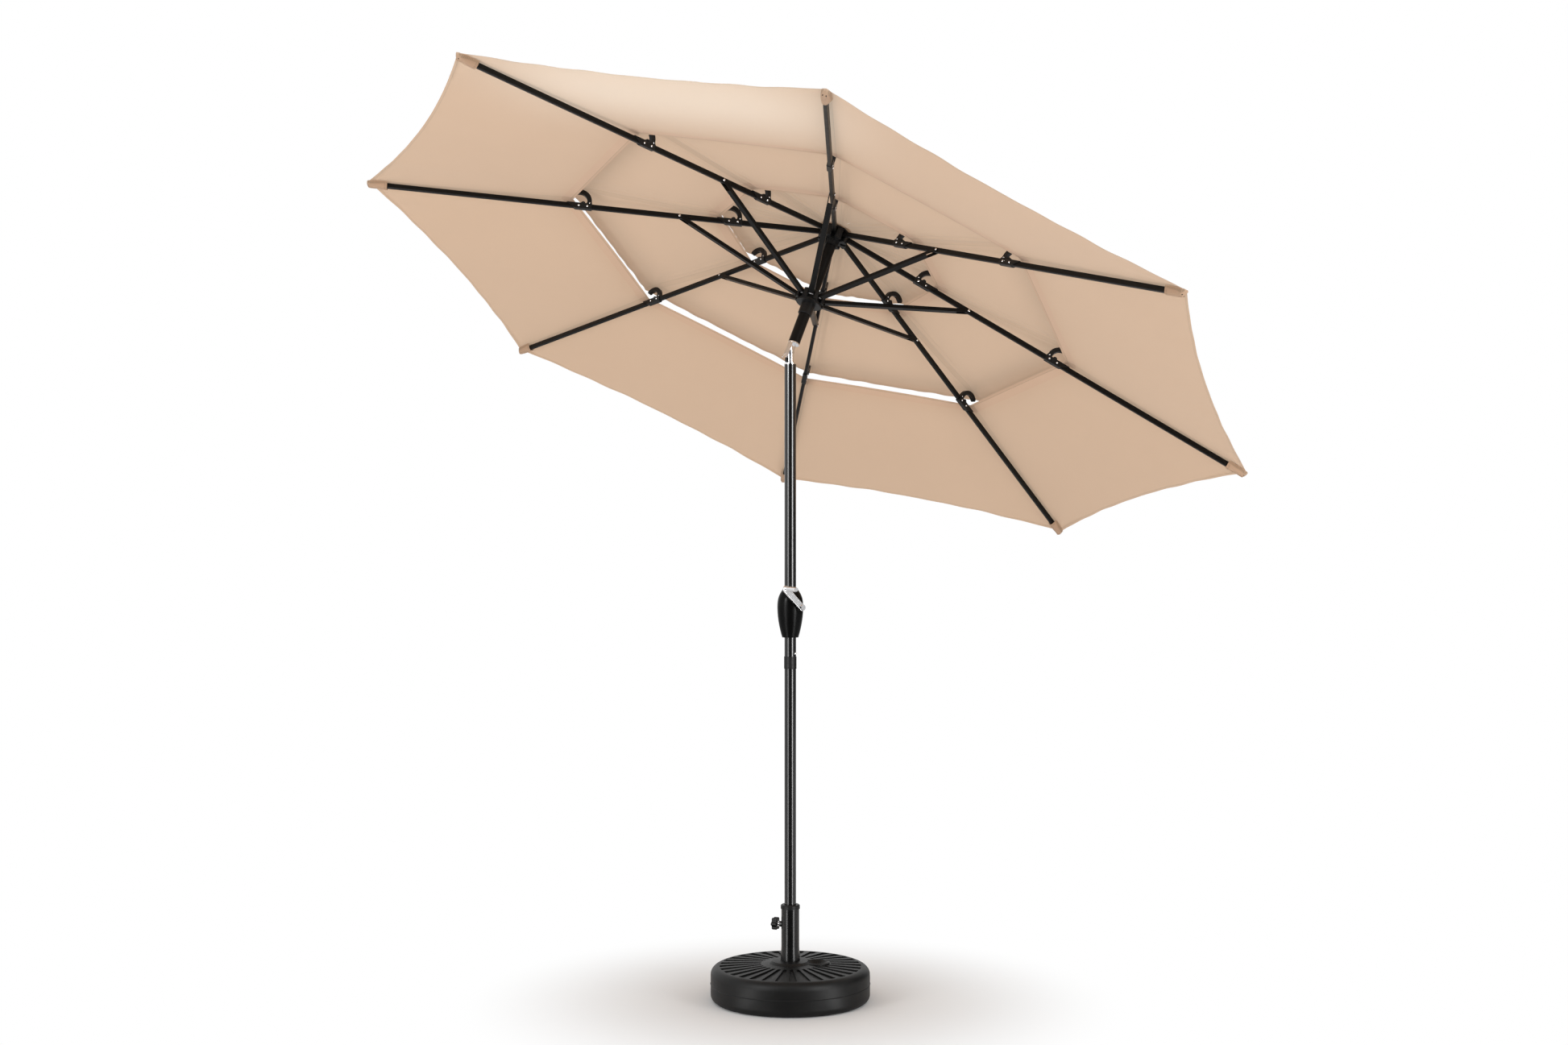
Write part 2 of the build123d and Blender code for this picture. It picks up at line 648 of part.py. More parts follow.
SEAT = RIB_H / 2 + 2.0
RIM_R = on_rib(RIB_LENGTH + 2, SEAT)[0]
MID_HOLE = on_rib(CLIP_INNER_S + HOLE_OVERLAP, SEAT + 0.4)
MID_EDGE = on_rib(CLIP_OUTER_S + 16, CLIP_RISE)
TOP_EDGE = on_rib(CLIP_INNER_S + 16, CLIP_RISE)
LOW_HOLE = on_rib(CLIP_OUTER_S + HOLE_OVERLAP, SEAT + 0.4)
LOW_EDGE = on_rib(RIB_LENGTH, SEAT)


def lift_cord_lower():
    knee = TILT_Z - 97
    lean = math.degrees(math.atan2(4.0, knee - CRANK_Z))
    run = math.hypot(4.0, knee - CRANK_Z)
    body = Pos(11, 0, CRANK_Z) * Rot(0, -lean, 0) * Cylinder(CORD_R, run, align=LOW)
    body += Pos(7, 0, knee) * Sphere(CORD_R)
    body += Pos(7, 0, 0) * rod(CORD_R, knee, TILT_Z - 5)
    return body


def lift_cord_upper():
    inside = PULLEY_X + PULLEY_R
    outside = PULLEY_X - PULLEY_R
    path = Polyline((inside, 0, 5), (inside, 0, PULLEY_H))
    path += ThreePointArc((inside, 0, PULLEY_H), (PULLEY_X, 0, PULLEY_H + PULLEY_R), (outside, 0, PULLEY_H))
    path += Polyline((outside, 0, PULLEY_H), (outside, 0, RUNNER_H + 24))
    return MAST_TILT * sweep(Pos(inside, 0, 5) * Circle(CORD_R), path)


save(base_shell(), "base_shell")
save(filler_cap(), "filler_cap")
save(base_tube(), "base_tube")
save(clamp_nut(), "clamp_nut")
save(clamp_knob(), "clamp_knob")
save(tube_collar(), "tube_collar")
save(lower_pole(), "lower_pole")
save(pole_foot(), "pole_foot")
save(joint_sleeve(), "joint_sleeve")
save(mid_pole(), "mid_pole")
save(snap_button(), "snap_button")
save(snap_spring(), "snap_spring")
housing = housing_body()
save(housing & block(-90, 90, -90, -0.1, 1000, 1600), "housing_front")
save(housing & block(-90, 90, 0.1, 90, 1000, 1600), "housing_rear")
save(crank_spool(), "crank_spool")
save(crank_arm(), "crank_arm")
save(crank_grip(), "crank_grip")
save(tilt_knuckle(), "tilt_knuckle")
save(tilt_button(), "tilt_button")
save(tilt_pin(), "tilt_pin")
save(tilt_bracket(), "tilt_bracket")
save(upper_pole(), "upper_pole")
save(hub(), "hub")
save(hub_pins(), "hub_pins")
save(pulley(), "pulley")
save(finial(), "finial")
save(runner(), "runner")
save(runner_pins(), "runner_pins")
one_rib = rib()
one_strut = strut()
for k in range(RIB_COUNT):
    save(rib_place(k) * one_rib, f"rib_{k + 1}")
    save(rib_fittings(k), f"clips_{k + 1}")
    save(strut_place(k) * one_strut, f"strut_{k + 1}")
save(tier((14, RIB_PIVOT_H + 22.2), TOP_EDGE, 14, TOP_EDGE[0] + TOP_OVERHANG, 8), "canopy_top")
save(tier(MID_HOLE, MID_EDGE, MID_HOLE[0], MID_EDGE[0] + MID_OVERHANG, 16), "canopy_middle")
save(tier(LOW_HOLE, LOW_EDGE, LOW_HOLE[0], RIM_R, RIM_SCALLOP), "canopy_lower")
save(lift_cord_lower(), "lift_cord_lower")
save(lift_cord_upper(), "lift_cord_upper")
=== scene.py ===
import bpy
import math
import numpy as np
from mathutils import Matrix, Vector


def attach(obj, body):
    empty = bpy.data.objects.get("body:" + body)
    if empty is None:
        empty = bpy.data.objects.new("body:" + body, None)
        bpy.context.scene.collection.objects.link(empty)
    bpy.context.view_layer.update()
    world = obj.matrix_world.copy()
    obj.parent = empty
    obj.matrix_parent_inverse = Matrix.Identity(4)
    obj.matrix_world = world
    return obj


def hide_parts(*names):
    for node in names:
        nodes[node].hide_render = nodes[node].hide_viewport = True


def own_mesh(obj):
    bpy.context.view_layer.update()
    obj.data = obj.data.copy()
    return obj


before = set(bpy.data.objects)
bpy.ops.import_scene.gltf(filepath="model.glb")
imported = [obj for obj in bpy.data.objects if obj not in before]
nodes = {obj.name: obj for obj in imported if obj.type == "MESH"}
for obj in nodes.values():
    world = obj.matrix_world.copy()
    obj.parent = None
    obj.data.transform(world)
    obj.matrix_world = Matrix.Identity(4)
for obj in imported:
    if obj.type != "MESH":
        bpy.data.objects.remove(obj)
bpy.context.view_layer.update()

# Studio: a pale floor that keeps the shadow, a white surround, two tall soft boxes beside the camera,
# a side lamp on the raised cloth, and dark and bright cards that only the reflections see.
# The camera stands at eye height, about 6.9 m from the pole.
scene = bpy.context.scene
scene.view_settings.view_transform = "Standard"
camera = bpy.data.objects.new("camera", bpy.data.cameras.new("camera"))
scene.collection.objects.link(camera)
camera.location = (-4.8015, -4.9563, 1.6175)
camera.rotation_euler = (math.radians(89.56), 0.0, math.radians(-43.92))
camera.data.lens = 48.43
camera.data.sensor_width = 36.0
camera.data.clip_end = 200.0
scene.camera = camera


class Wire:
    """A shader socket. Sums, differences, products and comparisons with it add Math nodes."""

    def __init__(self, tree, socket=None):
        self.tree = tree
        self.socket = socket

    def node(self, kind, settings=None, values=None, out=0):
        """Adds a node: its settings first, then its sockets' values or links. Gives one of its outputs."""
        made = self.tree.nodes.new(kind)
        for key, value in (settings or {}).items():
            setattr(made, key, value)
        for key, value in (values or {}).items():
            if isinstance(value, Wire):
                self.tree.links.new(value.socket, made.inputs[key])
            else:
                made.inputs[key].default_value = value
        return Wire(self.tree, made.outputs[out])

    def math(self, operation, first, second=0.0):
        return self.node("ShaderNodeMath", {"operation": operation}, {0: first, 1: second})

    def __add__(self, other):
        return self.math("ADD", self, other)

    def __radd__(self, other):
        return self.math("ADD", other, self)

    def __sub__(self, other):
        return self.math("SUBTRACT", self, other)

    def __rsub__(self, other):
        return self.math("SUBTRACT", other, self)

    def __mul__(self, other):
        return self.math("MULTIPLY", self, other)

    def __lt__(self, other):
        return self.math("LESS_THAN", self, other)

    def __gt__(self, other):
        return self.math("GREATER_THAN", self, other)

    def mix(self, low, high):
        """A colour that goes from low to high as this wire goes from 0 to 1."""
        kind = {"data_type": "RGBA", "clamp_factor": True}
        return self.node("ShaderNodeMix", kind, {0: self, 6: low, 7: high}, 2)

    def tint(self, share, colour):
        """This colour, multiplied by another one as far as share says."""
        kind = {"data_type": "RGBA", "blend_type": "MULTIPLY"}
        return self.node("ShaderNodeMix", kind, {0: share, 6: self, 7: colour}, 2)

    def into(self, shader, socket):
        self.tree.links.new(self.socket, shader.inputs[socket])


FILL_LIGHT = 0.74
world = bpy.data.worlds.new("surround")
scene.world = world
world.use_nodes = True
air = Wire(world.node_tree)
rays = air.node("ShaderNodeLightPath").socket.node.outputs
seen = air.math("MAXIMUM", Wire(air.tree, rays["Is Camera Ray"]), Wire(air.tree, rays["Is Transmission Ray"]))
seen = air.math("MAXIMUM", seen, Wire(air.tree, rays["Is Glossy Ray"]))
back = world.node_tree.nodes["Background"]
back.inputs["Color"].default_value = (1.0, 1.0, 1.0, 1.0)
(FILL_LIGHT + seen * (1.0 - FILL_LIGHT)).into(back, "Strength")

FLOOR_HALF = 40.0
floor_corners = [(FLOOR_HALF * x, FLOOR_HALF * y, 0.0) for x, y in [(-1, -1), (1, -1), (1, 1), (-1, 1)]]
floor_mesh = bpy.data.meshes.new("floor")
floor_mesh.from_pydata(floor_corners, [], [(0, 1, 2, 3)])
floor = bpy.data.objects.new("floor", floor_mesh)
scene.collection.objects.link(floor)
floor_paint = bpy.data.materials.new("pale_floor")
floor_paint.use_nodes = True
floor_shader = floor_paint.node_tree.nodes["Principled BSDF"]
floor_shader.inputs["Base Color"].default_value = (0.86, 0.86, 0.86, 1.0)
floor_shader.inputs["Roughness"].default_value = 0.9
floor_shader.inputs["Specular IOR Level"].default_value = 0.0
ground = Wire(floor_paint.node_tree)
spot = ground.node("ShaderNodeTexCoord", out=3)
distance = ground.node("ShaderNodeVectorMath", {"operation": "LENGTH"}, {0: spot}, 1)
smooth = {"interpolation_type": "SMOOTHSTEP"}
shadow_end = {"From Min": 0.3, "From Max": 1.1, "To Min": 0.0, "To Max": 1.0}
far_off = ground.node("ShaderNodeMapRange", smooth, {"Value": distance, **shadow_end})
eye = ground.node("ShaderNodeLightPath")
white = ground.node("ShaderNodeEmission", None, {"Color": (1.0, 1.0, 1.0, 1.0)})
plain = Wire(ground.tree, floor_shader.outputs["BSDF"])
blend = ground.node("ShaderNodeMixShader", None, {0: far_off * eye, 1: plain, 2: white})
blend.into(floor_paint.node_tree.nodes["Material Output"], "Surface")
floor_mesh.materials.append(floor_paint)

# Each card is a strip of a ring round the pole: its first and last bearing in degrees, its two edges
# as distance and height in metres, and how brightly it shines.
# The cards are seen in reflections alone: the dark ones are painted dark reflections, and the bright ones
# glow as painted highlights, not lamps.
CARD_STEPS = 24
ground_strip = [(0.32, 0.002), (9.0, 0.002)]
wall = [(9.0, 0.02), (9.0, 6.5)]
low_wall = [(9.0, 0.02), (9.0, 0.5)]
high_wall = [(9.0, 1.35), (9.0, 6.5)]
near_wall = [(4.6, 0.0), (4.6, 4.0)]
near_ground = [(0.32, 0.004), (4.6, 0.004)]
glint = [(3.1, 2.32), (3.1, 2.6)]
cards = [(188.0, 264.0, ground_strip, 0.0), (202.0, 250.0, wall, 0.0), (286.0, 304.0, wall, 0.0)]
cards += [(304.0, 326.0, low_wall, 0.0), (304.0, 326.0, high_wall, 0.0), (326.0, 372.0, wall, 0.0)]
cards += [(177.0, 187.0, near_wall, 6.4), (177.0, 187.0, near_ground, 7.0)]
cards += [(265.0, 275.0, near_wall, 15.0), (265.0, 275.0, near_ground, 9.0)]
cards += [(179.5, 185.5, glint, 120.0)]
for number, (first, last, outline, light) in enumerate(cards):
    bend = np.radians(np.linspace(first, last, CARD_STEPS + 1))
    rows = [np.column_stack([r * np.cos(bend), r * np.sin(bend), np.full(bend.size, z)]) for r, z in outline]
    card_mesh = bpy.data.meshes.new(f"card_{number}")
    faces = [(i, i + 1, i + bend.size + 1, i + bend.size) for i in range(CARD_STEPS)]
    card_mesh.from_pydata(np.concatenate(rows).tolist(), [], faces)
    card_paint = bpy.data.materials.new(f"card_paint_{number}")
    card_paint.use_nodes = True
    card_shader = card_paint.node_tree.nodes["Principled BSDF"]
    card_shader.inputs["Base Color"].default_value = (0.012, 0.012, 0.012, 1.0)
    card_shader.inputs["Roughness"].default_value = 1.0
    card_shader.inputs["Specular IOR Level"].default_value = 0.0
    card_shader.inputs["Emission Color"].default_value = (1.0, 1.0, 1.0, 1.0)
    card_shader.inputs["Emission Strength"].default_value = light
    card_mesh.materials.append(card_paint)
    card = bpy.data.objects.new(f"card_{number}", card_mesh)
    scene.collection.objects.link(card)
    card.visible_camera = False
    card.visible_diffuse = False
    card.visible_shadow = False
    card.visible_transmission = False


def soft_box(name, place, target, size, power, spread=180.0):
    """A rectangular lamp at place, facing target: its axis is the line between them."""
    lamp = bpy.data.lights.new(name, "AREA")
    lamp.shape = "RECTANGLE"
    lamp.size, lamp.size_y = size
    lamp.energy = power
    lamp.spread = math.radians(spread)
    holder = bpy.data.objects.new(name, lamp)
    scene.collection.objects.link(holder)
    holder.location = place
    aim = Vector(target) - holder.location
    holder.rotation_euler = aim.to_track_quat("-Z", "Y").to_euler()
    holder.visible_camera = False
    return lamp


POLE_MIDDLE = (0.0, 0.0, 1.3)
RAISED_CLOTH = (-0.94, -0.48, 2.78)
TALL_BOX = (1.2, 2.8)
soft_box("left_box", (-4.59, -0.16, 1.45), POLE_MIDDLE, TALL_BOX, power=62.0)
soft_box("right_box", (0.0, -4.6, 1.45), POLE_MIDDLE, TALL_BOX, power=58.0)
side_light = soft_box("side_lamp", (0.4, 0.25, 5.0), RAISED_CLOTH, (0.95, 0.4), power=2.35, spread=14.0)
side_light.color = (0.5, 0.75, 1.0)


# Base: a blow-moulded black plastic tank that is filled with sand or water, with tapered sunken wedges
# round its top, a parting line at half height and a screw-in filler cap in its dish.
# The plastic has a fine moulded grain, slightly paler where hands and sand have rubbed it.
def plain_finish(name, **sockets):
    """A new material whose constants are set on the shader's own sockets."""
    material = bpy.data.materials.new(name)
    material.use_nodes = True
    shader = material.node_tree.nodes["Principled BSDF"]
    for key, value in sockets.items():
        shader.inputs[key.replace("_", " ")].default_value = value
    wire = Wire(material.node_tree)
    place = wire.node("ShaderNodeTexCoord", out=3)
    return material, shader, place


def dress(material, names):
    """Gives CAD nodes a material, in every slot they have."""
    for name in names:
        holder = nodes[name]
        if not holder.material_slots:
            holder.data.materials.append(material)
        for slot in holder.material_slots:
            slot.material = material


def grain(place, scale, detail=3.0):
    """Noise from 0 to 1, about scale blotches to the metre."""
    return place.node("ShaderNodeTexNoise", None, {"Vector": place, "Scale": scale, "Detail": detail})


def bumped(shader, height, strength, distance):
    """Roughens a shader's normal by a height wire."""
    values = {"Height": height, "Strength": strength, "Distance": distance}
    height.node("ShaderNodeBump", None, values).into(shader, "Normal")


tank_plastic, shader, place = plain_finish("tank_plastic", Specular_IOR_Level=0.18)
rub = grain(place, 9.0, 5.0)
pits = grain(place, 620.0, 2.0)
rub.mix((0.003, 0.003, 0.003, 1.0), (0.0075, 0.0074, 0.0072, 1.0)).into(shader, "Base Color")
(0.4 + rub * 0.16).into(shader, "Roughness")
bumped(shader, pits, strength=0.35, distance=0.0004)
dress(tank_plastic, ["base_shell", "filler_cap"])

# Socket tube and its nut: welded steel pipe, painted black, with a slight orange peel in the paint.
# It stands in the tank and takes the lower pole.
tube_paint, shader, place = plain_finish("tube_paint", Specular_IOR_Level=0.4)
peel = grain(place, 240.0, 1.0)
worn = grain(place, 14.0, 4.0)
worn.mix((0.003, 0.003, 0.003, 1.0), (0.006, 0.006, 0.006, 1.0)).into(shader, "Base Color")
(0.18 + worn * 0.03).into(shader, "Roughness")
bumped(shader, peel, strength=0.012, distance=0.0004)
dress(tube_paint, ["base_tube", "clamp_nut"])

# Reducer collar, joint sleeve and pole foot: injection-moulded black plastic with a satin skin.
# The hub, pulley, finial, runner, vent clips and tilt button are the same plastic.
moulded_plastic, shader, place = plain_finish("moulded_plastic", Specular_IOR_Level=0.22)
flow = grain(place, 26.0, 3.0)
skin = grain(place, 900.0, 1.0)
flow.mix((0.004, 0.004, 0.004, 1.0), (0.009, 0.009, 0.009, 1.0)).into(shader, "Base Color")
(0.34 + flow * 0.14).into(shader, "Roughness")
bumped(shader, skin, strength=0.12, distance=0.0002)
dress(moulded_plastic, ["tube_collar", "joint_sleeve", "pole_foot", "tilt_button"])
dress(moulded_plastic, ["hub", "pulley", "finial", "runner"])
dress(moulded_plastic, [f"clips_{k}" for k in range(1, 9)])

# Clamp knob: a lobed head of the same plastic, moulded on a bright steel screw that runs through the nut.
# The screw is the part that lies nearer to the middle of the pole than the head does.
knob_plastic, shader, place = plain_finish("knob_plastic", Specular_IOR_Level=0.22)
level = place.node("ShaderNodeVectorMath", {"operation": "MULTIPLY"}, {0: place, 1: (1.0, 1.0, 0.0)})
from_pole = place.node("ShaderNodeVectorMath", {"operation": "LENGTH"}, {0: level}, 1)
screw_end = {"From Min": 0.0446, "From Max": 0.0448, "To Min": 1.0, "To Max": 0.0}
screw = place.node("ShaderNodeMapRange", None, {"Value": from_pole, **screw_end})
screw.mix((0.006, 0.006, 0.006, 1.0), (0.62, 0.62, 0.63, 1.0)).into(shader, "Base Color")
screw.into(shader, "Metallic")
(0.36 + grain(place, 30.0, 3.0) * 0.12 - screw * 0.14).into(shader, "Roughness")
dress(knob_plastic, ["clamp_knob"])

# Lower and middle pole: drawn steel tube with a charcoal powder coat, satin and faintly mottled.
# The lower one stands in the socket tube, and its spigot carries the middle one.
pole_paint, shader, place = plain_finish("pole_paint", Specular_IOR_Level=0.62)
mottle = grain(place, 60.0, 3.0)
powder = grain(place, 1400.0, 1.0)
mottle.mix((0.004, 0.004, 0.0041, 1.0), (0.007, 0.007, 0.0072, 1.0)).into(shader, "Base Color")
(0.18 + mottle * 0.015).into(shader, "Roughness")
bumped(shader, powder, strength=0.006, distance=0.0002)
dress(pole_paint, ["lower_pole", "mid_pole"])

# Upper pole, ribs and struts: rolled steel, painted black all over and less glossy than the lower poles.
# The ribs are pinned to the hub, and the struts to the runner.
frame_paint, shader, place = plain_finish("frame_paint", Specular_IOR_Level=0.15)
streak = grain(place, 45.0, 3.0)
streak.mix((0.002, 0.002, 0.002, 1.0), (0.004, 0.004, 0.004, 1.0)).into(shader, "Base Color")
(0.32 + streak * 0.12).into(shader, "Roughness")
bumped(shader, grain(place, 700.0, 1.0), strength=0.06, distance=0.0002)
dress(frame_paint, ["upper_pole"])
dress(frame_paint, [f"rib_{k}" for k in range(1, 9)])
dress(frame_paint, [f"strut_{k}" for k in range(1, 9)])

# Crank housing: two glossy black moulded halves, clamped round the middle pole.
# Handling has left the gloss a little uneven.
gloss_shell, shader, place = plain_finish("gloss_shell", Specular_IOR_Level=0.07)
smear = grain(place, 18.0, 4.0)
smear.mix((0.002, 0.002, 0.002, 1.0), (0.004, 0.004, 0.004, 1.0)).into(shader, "Base Color")
(0.2 + smear * 0.12).into(shader, "Roughness")
dress(gloss_shell, ["housing_front", "housing_rear"])

# Crank lever, grip, tilt joint and snap button: castings with bright chrome plate, hazy in places.
# The lever turns the spool in the housing, and the tilt joint sits on top of the middle pole.
chrome_plate, shader, place = plain_finish("chrome_plate", Metallic=1.0)
haze = grain(place, 35.0, 4.0)
haze.mix((0.74, 0.74, 0.75, 1.0), (0.83, 0.83, 0.84, 1.0)).into(shader, "Base Color")
(0.07 + haze * 0.12).into(shader, "Roughness")
dress(chrome_plate, ["crank_arm", "crank_grip", "tilt_knuckle", "tilt_bracket", "tilt_pin", "snap_button"])

# Pivot pins, spool and snap spring: plain zinc-plated steel with a cloudy surface.
# The pins hold the ribs and struts, and the spring pushes the snap button out.
zinc_steel, shader, place = plain_finish("zinc_steel", Metallic=1.0)
cloud = grain(place, 150.0, 3.0)
cloud.mix((0.5, 0.5, 0.51, 1.0), (0.64, 0.64, 0.65, 1.0)).into(shader, "Base Color")
(0.26 + cloud * 0.16).into(shader, "Roughness")
dress(zinc_steel, ["hub_pins", "runner_pins", "crank_spool", "snap_spring"])

# Lift cord: braided black polyester, with the lay of the braid as a diagonal wave.
# It runs from the spool up the pole, over the pulley and down to the runner.
cord_braid, shader, place = plain_finish("cord_braid", Roughness=0.8)
lay = place.node("ShaderNodeTexWave", {"bands_direction": "DIAGONAL"}, {"Vector": place, "Scale": 260.0}, 1)
lay.mix((0.012, 0.012, 0.012, 1.0), (0.035, 0.035, 0.035, 1.0)).into(shader, "Base Color")
bumped(shader, lay, strength=0.4, distance=0.0004)
dress(cord_braid, ["lift_cord_lower", "lift_cord_upper"])

# Canopy cloth: eight gores of beige woven polyester in three tiers, sewn along the ribs, hemmed at each rim.
# The tiers overlap at two vents, and every gore hangs a little between its ribs.
# Each piece here is the cloth about one rib, from mid-gore to mid-gore, so that it moves with that rib.
LEAN = math.radians(26.86)
TILT_HEIGHT = 2.1197
HUB_HEIGHT = 0.4504
HUB_RADIUS = 0.04
DROOP = math.radians(13.43)
HALF_GORE = math.radians(22.5)
RIB_REACH = 1.523


def leaned(x, y, h):
    """Points of the upright mast's frame, counted from the tilt pivot, carried to the leaning mast."""
    turned_x = x * math.cos(LEAN) + h * math.sin(LEAN)
    turned_z = TILT_HEIGHT - x * math.sin(LEAN) + h * math.cos(LEAN)
    return np.stack(np.broadcast_arrays(turned_x, y, turned_z), axis=-1)


def about_rib(k, x, y, h):
    """Points given radially outwards, sideways and up at rib k, turned to that rib's azimuth."""
    a = math.radians(45.0 * (k - 1))
    return leaned(x * math.cos(a) - y * math.sin(a), x * math.sin(a) + y * math.cos(a), h)


def on_rib(s, w):
    """Radius and height of a point s along a rib and w above its middle line."""
    radius = HUB_RADIUS + s * math.cos(DROOP) + w * math.sin(DROOP)
    height = HUB_HEIGHT - s * math.sin(DROOP) + w * math.cos(DROOP)
    return radius, height


def grid_quads(rows, columns, closed=False):
    """The quads of a grid of points, four indices each. A closed grid joins its last column to its first."""
    index = np.arange(rows * columns).reshape(rows, columns)
    if closed:
        index = np.concatenate([index, index[:, :1]], axis=1)
    return np.stack([index[:-1, :-1], index[1:, :-1], index[1:, 1:], index[:-1, 1:]], axis=-1).reshape(-1, 4)


def smooth_piece(name, points, quads):
    """A new smooth-shaded object from points and quads."""
    mesh = bpy.data.meshes.new(name)
    mesh.from_pydata(points.tolist(), [], quads.tolist())
    mesh.polygons.foreach_set("use_smooth", np.ones(len(quads), bool))
    mesh.update()
    piece = bpy.data.objects.new(name, mesh)
    scene.collection.objects.link(piece)
    return piece


def sheet_mesh(name, points, extra=None, closed=False):
    """A grid of points, rows by columns, as a mesh of quads with its per-point values as attributes."""
    rows, columns = points.shape[:2]
    piece = smooth_piece(name, points.reshape(-1, 3), grid_quads(rows, columns, closed))
    for key, value in (extra or {}).items():
        layer = piece.data.attributes.new(key, "FLOAT", "POINT")
        layer.data.foreach_set("value", np.broadcast_to(value, (rows, columns)).astype(np.float32).ravel())
    return piece


THREAD = 0.0016
STITCH = 0.006
STITCH_HALF = 0.0009
HEM_STITCH = 0.0086
HEM_CLOTH = 0.0105
SEAM_STITCH = 0.0125
SEAM_CLOTH = 0.0138
canopy_cloth, shader, place = plain_finish("canopy_cloth", Roughness=0.85, Specular_IOR_Level=0.25)
shader.inputs["Sheen Weight"].default_value = 0.15
shader.inputs["Sheen Roughness"].default_value = 0.5


def told(place, key):
    """A per-point value of the cloth."""
    return place.node("ShaderNodeAttribute", {"attribute_name": key}, None, 2)


across = told(place, "across")
along = told(place, "along")
rim_gap = told(place, "rim_gap")
seam_gap = told(place, "seam_gap")
rim_shadow_mask = told(place, "rim_shadow_mask")
overlap = told(place, "overlap")
fade = grain(place, 2.6, 4.0)
weft = across.math("SINE", across * (2 * math.pi / THREAD))
warp = along.math("SINE", along * (2 * math.pi / THREAD))
dash_rim = across.math("SINE", across * (2 * math.pi / STITCH)) > -0.4
dash_seam = along.math("SINE", along * (2 * math.pi / STITCH)) > -0.4
rim_line = rim_gap.math("ABSOLUTE", rim_gap - HEM_STITCH) < STITCH_HALF
seam_line = seam_gap.math("ABSOLUTE", seam_gap - SEAM_STITCH) < STITCH_HALF
stitch = across.math("MAXIMUM", rim_line * dash_rim, seam_line * dash_seam)
double = across.math("MAXIMUM", rim_gap < HEM_CLOTH, seam_gap < SEAM_CLOTH)
# Painted shade: the cloth darkens by nearly a fifth towards the crown, for the shade round the hub. It falls
# on the top tier and the crown patch.
painted_crown_shade = {"From Min": 0.1, "From Max": 0.33, "To Min": 0.82, "To Max": 1.0}
crown_darkening = along.node("ShaderNodeMapRange", None, {"Value": along, **painted_crown_shade})
single = fade.mix((0.605, 0.397, 0.263, 1.0), (0.65, 0.435, 0.293, 1.0))
crown_darkened_cloth = crown_darkening.mix((0.0, 0.0, 0.0, 1.0), single)
# Painted shadow: the top and middle tiers darken by up to a fifth towards their rims, for the shade where
# they overlap the tier below.
painted_rim_shadow = (rim_shadow_mask * rim_shadow_mask * 0.2).mix((1.0, 1.0, 1.0, 1.0), (0.0, 0.0, 0.0, 1.0))
woven = crown_darkened_cloth.tint(1.0, painted_rim_shadow)
# Painted light: where the tier above overlaps the middle or lower tier, the cloth is made a few hundredths
# paler, to lift the shadow there.
painted_overlap_light = woven.tint(overlap > 0.0, (1.06, 1.07, 1.09, 1.0))
folded = painted_overlap_light.tint(double * 0.7, (0.88, 0.86, 0.84, 1.0))
stitch.mix(folded, (0.4, 0.28, 0.185, 1.0)).into(shader, "Base Color")
bumped(shader, weft * warp * 0.35 + stitch * 0.8, strength=0.25, distance=0.0005)
glow = Wire(canopy_cloth.node_tree)
through = glow.node("ShaderNodeBsdfTranslucent", None, {"Color": (0.8, 0.625, 0.46, 1.0)})
lets_through = 0.3 - (overlap > 0.0) * 0.26
layers = {0: lets_through, 1: Wire(glow.tree, shader.outputs["BSDF"]), 2: through}
both = glow.node("ShaderNodeMixShader", None, layers)
both.into(canopy_cloth.node_tree.nodes["Material Output"], "Surface")

HEM_ROWS = np.array([0.0, 0.0005, 0.0104, 0.0112])
HEM_WIDTH = 0.0108
HEM_DROP = 0.0009
FIELD_EDGE = 0.02
RIPPLE = 0.0022
DRAG = 0.0024
DRAG_REACH = 0.055
PUCKER = 0.0016
PUCKER_PITCH = 0.026
PUCKER_PLACE = 0.03
PUCKER_SPREAD = 0.022


